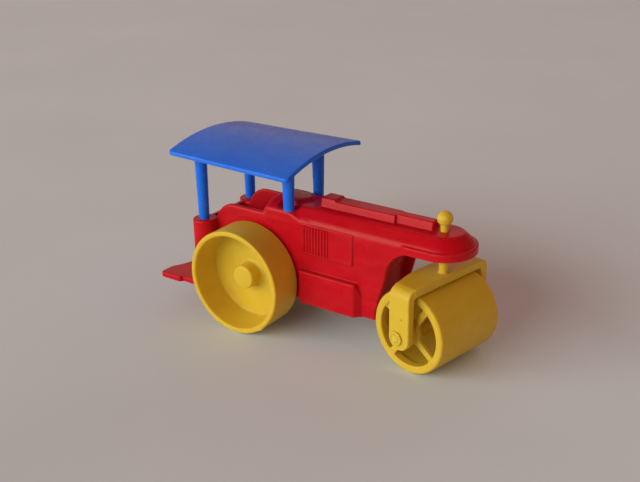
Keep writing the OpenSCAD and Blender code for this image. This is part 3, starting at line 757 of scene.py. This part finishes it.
# ---------------------------------------------------------------- materials
class Nodes:
    """A new material, with short ways to add the nodes used here."""

    def __init__(self, name):
        self.material = bpy.data.materials.new(name)
        self.material.use_nodes = True
        self.tree = self.material.node_tree
        self.bsdf = self.tree.nodes["Principled BSDF"]
        self.object_space = self.add("ShaderNodeTexCoord", {}).outputs["Object"]

    def add(self, kind, inputs):
        node = self.tree.nodes.new(kind)
        self.put(node, inputs)
        return node

    def put(self, node, inputs):
        """Links or sets a node's inputs; a colour may leave out its alpha."""
        for key, value in inputs.items():
            socket = node.inputs[key]
            if isinstance(value, bpy.types.NodeSocket):
                self.tree.links.new(value, socket)
            elif socket.type == "RGBA":
                socket.default_value = (*value, 1)
            else:
                socket.default_value = value

    def noise(self, scale, detail, roughness=0.5, vector=None, distortion=0.0):
        values = {"Scale": scale, "Detail": detail, "Roughness": roughness, "Distortion": distortion}
        values["Vector"] = vector or self.object_space
        return self.add("ShaderNodeTexNoise", values).outputs["Fac"]

    def ramp(self, fac, first, last):
        """From one (position, colour) to another; a single number stands for a grey."""
        node = self.add("ShaderNodeValToRGB", {"Fac": fac})
        for element, (position, colour) in zip(node.color_ramp.elements, (first, last)):
            element.position = position
            element.color = (*(colour if isinstance(colour, tuple) else (colour,) * 3), 1)
        return node.outputs["Color"]

    def mix(self, fac, a, b):
        node = self.tree.nodes.new("ShaderNodeMix")
        node.data_type = "RGBA"
        self.put(node, {0: fac, 6: a, 7: b})
        return node.outputs[2]

    def calc(self, operation, a, b):
        node = self.add("ShaderNodeMath", {0: a, 1: b})
        node.operation = operation
        return node.outputs[0]

    def times(self, a, b):
        return self.calc("MULTIPLY", a, b)

    def plus(self, a, b):
        return self.calc("ADD", a, b)

    def attribute(self, label):
        node = self.tree.nodes.new("ShaderNodeAttribute")
        node.attribute_name = label
        return node.outputs["Fac"]


def tint(n, base, deep, worn, flow, rubbed, shade_in_corners):
    """Mottled colour with faint flow lines, paler where rubbed, and darker in the corners as painted shade.
    """
    stretch = n.add("ShaderNodeMapping", {"Vector": n.object_space, "Scale": flow}).outputs["Vector"]
    cloud = n.ramp(n.noise(85, 4, 0.55), (0.33, 0), (0.7, 1))
    lines = n.ramp(n.noise(420, 3, 0.6, stretch, 0.4), (0.42, 0), (0.62, 1))
    colour = n.mix(n.times(cloud, 0.75), base, deep)
    colour = n.mix(n.times(lines, 0.12), colour, worn)
    colour = n.mix(n.times(rubbed, 0.5), colour, worn)
    # painted shade: the colour goes darker in concave corners
    return n.mix(n.times(shade_in_corners, 0.45), colour, tuple(c * 0.55 for c in deep))


def roughness(n, rough, rubbed, shade_in_corners):
    patches = n.ramp(n.noise(260, 5, 0.65), (0.3, 0), (0.75, 1))
    r = n.plus(n.times(patches, 0.14), rough - 0.05)
    return n.plus(n.plus(r, n.times(rubbed, 0.12)), n.times(shade_in_corners, 0.16))


def relief(n):
    """Uneven skin with patches of fine scratches, as a height."""
    wave = {"Scale": 300, "Distortion": 22, "Detail": 4, "Detail Scale": 1.5, "Vector": n.object_space}
    fine = n.ramp(n.add("ShaderNodeTexWave", wave).outputs["Fac"], (0.0, 0), (0.05, 1))
    patch = n.ramp(n.noise(150, 2), (0.5, 0), (0.62, 1))
    scratches = n.times(n.calc("SUBTRACT", 1.0, fine), patch)
    height = n.plus(n.times(n.noise(520, 3, 0.5), 0.5), n.times(scratches, -0.35))
    return n.plus(height, n.times(n.noise(70, 2, 0.4), 1.6))


def plastic(name, base, deep, worn, flow, rough, spec, glow, glow_radius, glow_depth, scratch):
    """Moulded plastic. Light spreads under its skin by glow; depths and heights are in millimetres."""
    n = Nodes(name)
    rubbed = n.times(n.attribute("wear"), n.ramp(n.noise(900, 5, 0.7), (0.38, 0.15), (0.6, 1)))
    # painted shade in concave corners, broken up by noise; it also raises the roughness there
    shade_in_corners = n.times(n.attribute("corner_shade"), n.ramp(n.noise(650, 4, 0.6), (0.35, 0.2), (0.65, 1)))
    bump = n.add("ShaderNodeBump", {"Strength": 0.5, "Distance": scratch * MM, "Height": relief(n)})
    n.put(n.bsdf, {
        "Base Color": tint(n, base, deep, worn, flow, rubbed, shade_in_corners),
        "Roughness": roughness(n, rough, rubbed, shade_in_corners),
        "Normal": bump.outputs["Normal"],
        "IOR": 1.5,
        "Specular IOR Level": spec,
        "Subsurface Weight": glow,
        "Subsurface Radius": glow_radius,
        "Subsurface Scale": glow_depth * MM,
    })
    return n.material


RED = plastic("red_moulding", (0.55, 0.001, 0.009), (0.46, 0.001, 0.007), (0.68, 0.035, 0.045),
              flow=(0.25, 1, 1), rough=0.28, spec=0.18, glow=0.12, glow_radius=(1, 0.1, 0.08),
              glow_depth=1.2, scratch=0.06)
BLUE = plastic("blue_moulding", (0.010, 0.17, 0.88), (0.007, 0.13, 0.74), (0.08, 0.26, 0.82),
               flow=(0.3, 1, 1), rough=0.28, spec=0.22, glow=0.1, glow_radius=(0.1, 0.3, 1),
               glow_depth=1.0, scratch=0.06)
YELLOW = plastic("yellow_moulding", (0.69, 0.49, 0.034), (0.63, 0.40, 0.022), (0.77, 0.61, 0.09),
                 flow=(1, 0.3, 1), rough=0.40, spec=0.25, glow=0.35, glow_radius=(1, 0.35, 0.06),
                 glow_depth=2.2, scratch=0.08)


def dress(obj, mat, body, nodes):
    obj.data.materials.clear()
    obj.data.materials.append(mat)
    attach(obj, body)
    if nodes:
        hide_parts(*nodes)


# ---------------------------------------------------------------- the pieces
# Each surface is made within the box between its two corners, on a grid of the step that follows them.
body = surface("body_shell", body_field, (-26.1, -12.3, 5.4), (53.4, 12.3, 32.4), 0.25, to_body, keep=0.42)
dress(body, RED, "chassis", ["body"])

canopy = surface("canopy_moulding", canopy_field, (-18.3, -14.6, 23.2), (16.1, 14.6, 43.3), 0.24,
                 to_body, keep=0.5)
dress(canopy, BLUE, "chassis", ["canopy"])

fork = surface("fork_moulding", fork_field, (-5.5, -13.2, 6.6), (2.0, 13.2, 33.5), 0.19, to_fork, keep=0.6)
dress(fork, YELLOW, "fork", ["fork"])

drum = surface("drum_shell", drum_field, (-9.6, -11.0, -9.6), (9.6, 9.7, 9.6), 0.21, on_axle, keep=0.55)
dress(drum, YELLOW, "drum", ["drum"])

cap = surface("drum_end", cap_field, (-8.3, 4.0, -8.3), (8.3, 10.95, 8.3), 0.17, on_axle, keep=0.6)
dress(cap, YELLOW, "drum", ["drum_end_cap"])

axle = turned("axle_rod", axle_field, AXLE, 48, place_axle)
dress(axle, YELLOW, "rear_wheels", ["rear_axle"])

knob = turned("knob_ball", knob_field, KNOB, 72, place_knob)
dress(knob, YELLOW, "fork", ["king_pin_knob"])

for label, side in (("right", -1), ("left", 1)):
    dress(wheel(f"wheel_{label}", side), YELLOW, "rear_wheels", [f"rear_wheel_{label}"])
    dress(drum_pin(f"pin_{label}", side), YELLOW, "fork", [f"drum_pin_{label}"])
    dress(ribs(f"grille_{label}", side), RED, "chassis", [])


# ---------------------------------------------------------------- floor, light, camera
LOOKED_AT = (14, 0, 18)                 # what the lamps point at
# name, place, size, watts, colour, and whether the lamp shows in reflections
LAMPS = (
    ("key", (-1460, -3440, 910), (4960, 3360), 210, (0.96, 1, 0.93), True),
    ("fill", (2780, -1920, 1070), (2400, 2080), 6, (1, 0.66, 0.55), True),
    ("back", (-2020, 3440, 1950), (4800, 3200), 20, (1, 0.88, 0.88), True),
    ("left", (900, 3600, 500), (3600, 1600), 30, (1, 0.86, 0.76), False),
)
FLOOR_DARK, FLOOR_LIGHT, FLOOR_SIZE = (0.68, 0.79, 0.84), (0.76, 0.87, 0.92), 6     # size in metres
WARM, WARM_STRENGTH, PALE_WALL = (1, 0.45, 0.33, 1), 0.25, (0.50, 0.47, 0.45, 1)
CAMERA_AT = (13.87, 0, 20.784)          # the point in the middle of the picture
AZIMUTH, ELEVATION, ROLL = (math.radians(a) for a in (35.645, 22.553, -0.965))
DISTANCE, LENS, SENSOR = 230.285, 56.30625, 36


def floor():
    bm = bmesh.new()
    bmesh.ops.create_grid(bm, x_segments=24, y_segments=24, size=FLOOR_SIZE)
    mesh = bpy.data.meshes.new("floor")
    bm.to_mesh(mesh)
    bm.free()
    paper = Nodes("floor_paper")
    colour = paper.ramp(paper.noise(14, 5), (0, FLOOR_DARK), (1, FLOOR_LIGHT))
    paper.put(paper.bsdf, {"Base Color": colour, "Roughness": 0.9, "Specular IOR Level": 0.1})
    mesh.materials.append(paper.material)
    obj = link("floor", mesh)


def from_axle(p):
    """A point in body millimetres, in metres in the row frame."""
    return Vector(((p[0] + SHIFT) * MM, p[1] * MM, p[2] * MM))


def lamp(name, place, size, watts, colour, gloss):
    data = bpy.data.lights.new(name, "AREA")
    data.shape = "RECTANGLE"
    data.size, data.size_y = size[0] * MM, size[1] * MM
    data.energy = watts
    data.color = colour
    at = from_axle(place)
    turn = (at - from_axle(LOOKED_AT)).to_track_quat("Z", "Y").to_matrix().to_4x4()
    obj = link(name, data)
    obj.matrix_world = Matrix.Translation(at) @ turn
    obj.visible_glossy = gloss


def studio():
    """Warm light from all round, with a pale wall where the camera looks past the floor."""
    world = bpy.data.worlds.new("studio")
    world.use_nodes = True
    tree = world.node_tree
    warm = tree.nodes["Background"]
    warm.inputs["Color"].default_value = WARM
    warm.inputs["Strength"].default_value = WARM_STRENGTH
    wall = tree.nodes.new("ShaderNodeBackground")
    wall.inputs["Color"].default_value = PALE_WALL
    seen = tree.nodes.new("ShaderNodeLightPath")
    both = tree.nodes.new("ShaderNodeMixShader")
    tree.links.new(seen.outputs["Is Camera Ray"], both.inputs[0])
    tree.links.new(warm.outputs[0], both.inputs[1])
    tree.links.new(wall.outputs[0], both.inputs[2])
    tree.links.new(both.outputs[0], tree.nodes["World Output"].inputs["Surface"])
    bpy.context.scene.world = world


def camera():
    back = Vector((math.sin(AZIMUTH) * math.cos(ELEVATION), -math.cos(AZIMUTH) * math.cos(ELEVATION),
                   math.sin(ELEVATION)))
    level = Vector((math.cos(AZIMUTH), math.sin(AZIMUTH), 0))
    upright = back.cross(level)
    right = level * math.cos(ROLL) + upright * math.sin(ROLL)
    up = upright * math.cos(ROLL) - level * math.sin(ROLL)
    target = Vector(CAMERA_AT) + Vector((SHIFT, 0, 0))
    data = bpy.data.cameras.new("camera")
    data.sensor_width = SENSOR
    data.lens = LENS
    data.clip_start = 0.005
    obj = link("camera", data)
    turn = Matrix((right, up, back)).transposed().to_4x4()
    obj.matrix_world = Matrix.Translation((target + back * DISTANCE) * MM) @ turn
    bpy.context.scene.camera = obj


floor()
for values in LAMPS:      # large and far away, so that the floor is lit evenly all round
    lamp(*values)
studio()
camera()
bpy.context.scene.view_settings.view_transform = "Standard"
